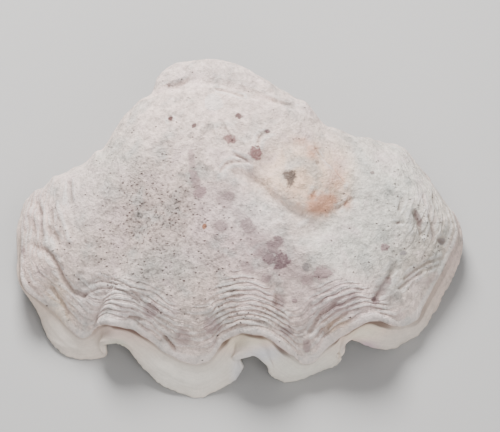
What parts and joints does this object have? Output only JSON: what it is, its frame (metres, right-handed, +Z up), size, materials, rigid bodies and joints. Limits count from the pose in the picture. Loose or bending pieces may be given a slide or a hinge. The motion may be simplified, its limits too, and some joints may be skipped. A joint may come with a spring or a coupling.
{
  "type": "giant clam shell",
  "caption": "One weathered giant clam valve lying hollow side down, with broad ribs, a scalloped margin that stands on its tongues, a ledge over a smooth lip and a thick umbo.",
  "frame": {"origin": "centre of the bounding box's bottom, on the surface the valve lies on", "axes": "+X along the valve's length, towards the end on the right when its scalloped margin faces the viewer; +Y from the scalloped margin towards the hinge; +Z up, away from the hollow"},
  "size_m": [0.2982, 0.212, 0.097],
  "materials": {
    "weathered_shell": "chalky, finely pitted, off-white to grey-pink shell"
  },
  "bodies": {
    "root": {"clam_shell": "weathered_shell"}
  },
  "joints": []
}
